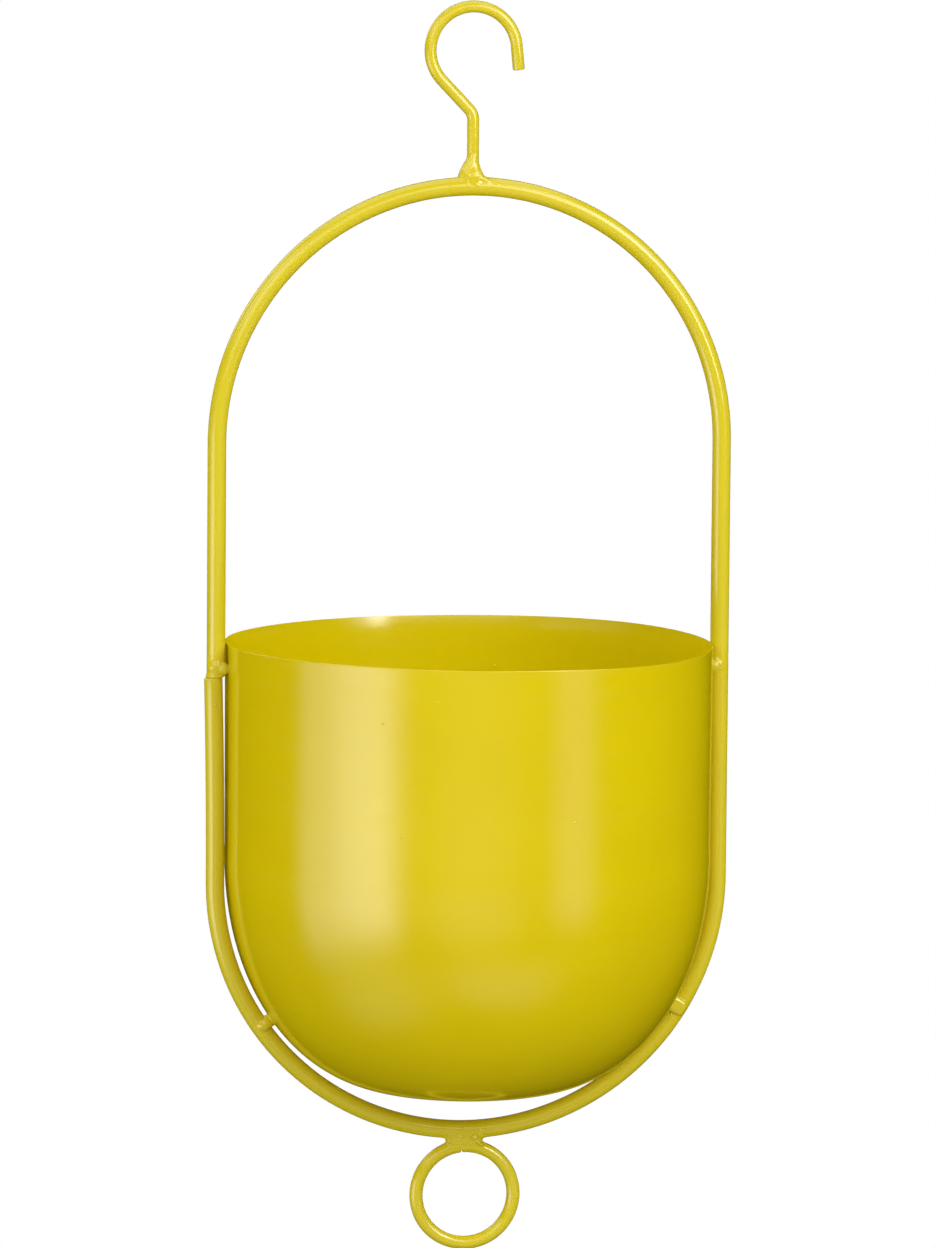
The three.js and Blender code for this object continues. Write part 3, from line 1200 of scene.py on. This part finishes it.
    def _upper_right_bead(self) -> Bead:
        """Shapes the tack under the rim on the right.

        Returns:
            The bead.
        """
        leg = (self.layout.leg_x, 0.0, self.layout.rim_z - self.upper_right_drop)
        lumps = [
            Lump(beside(leg, -1.8, -1.6, 0.0), mm(3.2, 2.4, 2.9)),
            Lump(beside(leg, -0.4, -3.1, 0.7), mm(0.9, 0.8, 0.7), 20, 0.4 * MM),
            Lump(beside(leg, -0.3, -3.0, -0.7), mm(1.0, 0.8, 0.6), 20, 0.4 * MM),
            Lump(beside(leg, -1.6, -2.9, 2.6), mm(0.8, 0.7, 0.7), width=0.4 * MM),
        ]
        return Bead("upper_right_tack", ("tack_upper_right",),
                    Vector(beside(leg, -1.6, -1.2, 0.0)), 6.0 * MM,
                    [self.hoop.field], lumps, self.bowl)

    def _lower_bead(self, side: int, angle: float, shape: TackShape, name: str,
                    node: str) -> Bead:
        """Shapes a tack on the lower bend.

        Args:
            side: Minus one for left, one for right.
            angle: How far below the level of the bend's centre it sits.
            shape: Its shape.
            name: The bead's name.
            node: The CAD node that it stands for.

        Returns:
            The bead.
        """
        layout = self.layout
        turn = side * math.degrees(angle)
        away = Vector((side * math.cos(angle), 0, -math.sin(angle)))
        bend_centre = Vector((0, 0, layout.low_bend_z))
        face = bend_centre + away * (layout.leg_x - shape.inward) - Vector((0, shape.forward, 0))
        root = bend_centre + away * (layout.leg_x - layout.rod_radius - self.root_depth)
        lumps = [
            Lump(tuple(face), shape.half, turn, shape.width, shape.power),
            Lump((root.x, -1.2 * MM, root.z), (*mm(2.6, 2.4), shape.half[2]), turn, 0.8 * MM),
        ]
        off_rod = Vector((side * shape.drop[0], -self.drop_forward, -shape.drop[1]))
        drop = bend_centre + away * layout.leg_x + off_rod
        drops = (Lump(tuple(drop), mm(0.5, 0.45, 0.5), facing=TOWARD_KEY),)
        return Bead(name, (node,), root - Vector((0, 0.9 * MM, 0)), shape.half[2] + 4.6 * MM,
                    [self.hoop.field], lumps, self.bowl, drops, bar_width=0.5 * MM)


# ---- studio


class Light(Enum):
    """What a softbox is for."""

    KEY = "lights and is mirrored"
    FILL = "only lights"
    GLINT = "is only mirrored"


@dataclass(frozen=True)
class Softbox:
    """A soft rectangular light that faces the planter and dims towards its edges.

    Attributes:
        name: Its name.
        azimuth: Where it stands round the planter, in degrees from the front, to the right.
        elevation: How high it stands, in degrees.
        width: Its width.
        height: Its height.
        radiance: How bright the middle of its face is.
        distance: How far it is from the planter's middle.
        fade: The share of its half width over which it dims.
        fade_up: The share of its half height over which it dims.
        role: Whether it lights, is mirrored in the gloss, or both.
    """

    name: str
    azimuth: float
    elevation: float
    width: float
    height: float
    radiance: float
    distance: float = 1.5
    fade: float = 0.7
    fade_up: float = 0.7
    role: Light = Light.KEY

    def build(self, middle: Vector) -> None:
        """Places the light.

        Args:
            middle: The point that it faces.
        """
        data = bpy.data.lights.new(self.name, "AREA")
        data.shape = "RECTANGLE"
        data.size = self.width
        data.size_y = self.height
        data.energy = self.radiance * math.pi * self.width * self.height
        light = show(self.name, data)
        away = direction(math.radians(self.azimuth), math.radians(self.elevation))
        light.location = middle + away * self.distance
        light.rotation_euler = away.to_track_quat("Z", "Y").to_euler()
        light.visible_camera = False
        light.visible_glossy = self.role is not Light.FILL
        light.visible_diffuse = self.role is not Light.GLINT
        self._dim_edges(data)

    def _dim_edges(self, data: bpy.types.AreaLight) -> None:
        """Dims the light's face towards its edges.

        Args:
            data: The light's data.
        """
        data.use_nodes = True
        sketch = NodeSketch(data.node_tree)
        face = sketch.node("ShaderNodeNewGeometry")
        parts = sketch.node("ShaderNodeSeparateXYZ", {"Vector": face.outputs["Parametric"]})
        shares = []
        for axis, fade in (("X", self.fade), ("Y", self.fade_up)):
            off_middle = sketch.math("ABSOLUTE", sketch.math("SUBTRACT", parts.outputs[axis], 0.5))
            shares.append(sketch.spread(off_middle, (0.5, 0.5 - fade / 2), smooth=True))
        strength = sketch.math("MULTIPLY", *shares)
        sketch.feed(data.node_tree.nodes["Emission"], {"Strength": strength})


@dataclass
class Studio:
    """The pale floor, the soft lights and the camera."""

    layout: Layout
    floor_drop: float = 3.0
    floor_size: float = 12.0
    ambient: float = 0.3
    camera_azimuth: float = math.radians(-9.49)
    camera_elevation: float = math.radians(6.576)
    camera_roll: float = math.radians(0.465)
    camera_distance: float = 3.0105
    camera_aim: tuple[float, float] = (-0.743 * MM, 7.055 * MM)
    camera_offset: float = 0.33 * MM
    lens: float = 235.77
    sensor: float = 36.0
    view_limit: float = 100.0
    softboxes: tuple[Softbox, ...] = (
        Softbox("left_box", -68, -12, 1.9, 1.6, 1.75, 1.5, 0.6, 1.0),
        Softbox("left_glint", -56, -9, 1.6, 1.2, 1.9, 1.45, 1.0, 1.0, Light.GLINT),
        Softbox("left_top_box", -72, 42, 1.3, 1.0, 1.7),
        Softbox("front_left_box", -35, 30, 0.9, 0.9, 1.5, 1.47),
        Softbox("front_box", 0, 24, 2.4, 0.9, 1.2, 1.4, 0.5, 0.5),
        Softbox("front_right_box", 22, 26, 0.9, 0.8, 2.9, 1.45),
        Softbox("right_glint", 36.7, 22, 0.3, 1.0, 9.0, 1.5, 0.5, 0.3, Light.GLINT),
        Softbox("right_strip", 41, 20, 0.9, 1.3, 2.8, 1.48, 1.0, 0.9),
        Softbox("right_top_box", 34, 45, 0.8, 0.8, 2.5),
        Softbox("right_box", 60, 34, 0.8, 1.0, 2.2, 1.47),
        Softbox("right_low_glow", 41, -10, 0.9, 0.8, 0.9, 1.45, 1.0, 1.0),
        Softbox("top_glint", 180, 82, 2.2, 2.2, 1.35, 1.5, 0.6, 0.5, Light.GLINT),
        Softbox("rear_left_box", -140, 35, 1.1, 1.1, 1.6, 1.5, 0.6, 0.6),
        Softbox("front_low_glow", -6, -15, 2.0, 1.0, 0.6, 1.42, 1.0, 1.0),
        Softbox("floor_front_glow", 10, -42, 2.2, 0.9, 0.6, 1.5, 1.0, 1.0),
        Softbox("floor_left_glow", -62, -46, 2.0, 1.2, 0.45, 1.5, 1.0, 1.0),
        Softbox("rear_fill", 180, 45, 1.8, 1.0, 1.8, 1.52, 0.6, 0.6, Light.FILL),
        Softbox("rear_left_fill", -140, 35, 1.1, 1.1, 1.7, 1.52, 0.6, 0.6, Light.FILL),
        Softbox("rear_right_fill", 140, 35, 1.1, 1.1, 0.8, 1.52, 0.6, 0.6, Light.FILL),
        Softbox("right_low_fill", 40, -10, 1.1, 0.9, 1.6, 1.52, 1.0, 1.0, Light.FILL),
    )

    def build(self) -> None:
        """Builds the floor, the lights and the camera."""
        self._floor()
        self._ambient()
        middle = Vector((0, 0, (self.layout.rim_z + self.layout.base_z) / 2))
        for softbox in self.softboxes:
            softbox.build(middle)
        self._camera()

    def _floor(self) -> None:
        """Lays a wide pale floor well below the hanging planter."""
        bm = bmesh.new()
        place = (0, 0, self.layout.ring_foot_z - self.floor_drop)
        bmesh.ops.create_grid(
            bm, x_segments=4, y_segments=4, size=self.floor_size,
            matrix=Matrix.Translation(place),
        )
        floor = show("pale_floor", as_mesh("pale_floor", bm, self._floor_material()))
        for kind in ("diffuse", "glossy", "transmission", "shadow"):
            setattr(floor, "visible_" + kind, False)

    def _floor_material(self) -> bpy.types.Material:
        """Builds a finish that is seen as plain white.

        Returns:
            The material.
        """
        made = bpy.data.materials.new("pale_floor")
        made.use_nodes = True
        made.node_tree.nodes.clear()
        sketch = NodeSketch(made.node_tree)
        white = sketch.node("ShaderNodeEmission", {"Strength": 1.0})
        sketch.node("ShaderNodeOutputMaterial", {"Surface": white.outputs["Emission"]})
        return made

    def _ambient(self) -> None:
        """Sets a dim even fill that gloss doesn't mirror, in front of plain white."""
        world = bpy.data.worlds.new("studio")
        bpy.context.scene.world = world
        world.use_nodes = True
        sketch = NodeSketch(world.node_tree)
        ray = sketch.node("ShaderNodeLightPath")
        fill = sketch.math("MULTIPLY", ray.outputs["Is Diffuse Ray"], self.ambient)
        strength = sketch.math("ADD", fill, ray.outputs["Is Camera Ray"])
        white = {"Color": (1.0, 1.0, 1.0, 1.0), "Strength": strength}
        sketch.feed(world.node_tree.nodes["Background"], white)

    def _camera(self) -> None:
        """Places the camera at the photograph's angle, with no depth of field."""
        data = bpy.data.cameras.new("camera")
        data.lens = self.lens
        data.sensor_width = self.sensor
        data.clip_end = self.view_limit
        back = direction(self.camera_azimuth, self.camera_elevation)
        right = Vector((math.cos(self.camera_azimuth), math.sin(self.camera_azimuth), 0))
        above = back.cross(right)
        aim = Vector((self.camera_offset, 0, self.layout.rim_z + self.camera_aim[1]))
        aim += right * self.camera_aim[0]
        turn = Matrix((right, above, back)).transposed().to_4x4()
        camera = show("camera", data)
        camera.matrix_world = (
            Matrix.Translation(aim + back * self.camera_distance)
            @ turn @ Matrix.Rotation(self.camera_roll, 4, "Z")
        )
        bpy.context.scene.camera = camera


# ---- main


def main() -> None:
    """Builds the planter and the studio round it."""
    logging.basicConfig(level=logging.INFO, format="%(name)s: %(message)s")
    layout = Layout.from_frame()
    Studio(layout).build()
    bowl, hoop, hook, ring = Bowl(layout), Hoop(layout), Hook(layout), Ring(layout)
    for piece in (bowl, hoop, hook, ring):
        piece.build()
    Welds(layout, bowl, hoop, hook, ring).build()
    bpy.context.scene.view_settings.view_transform = "Standard"


MATERIALS: dict[Paint, bpy.types.Material] = {
    paint: finish.material() for paint, finish in FINISHES.items()
}

if __name__ == "__main__":
    main()
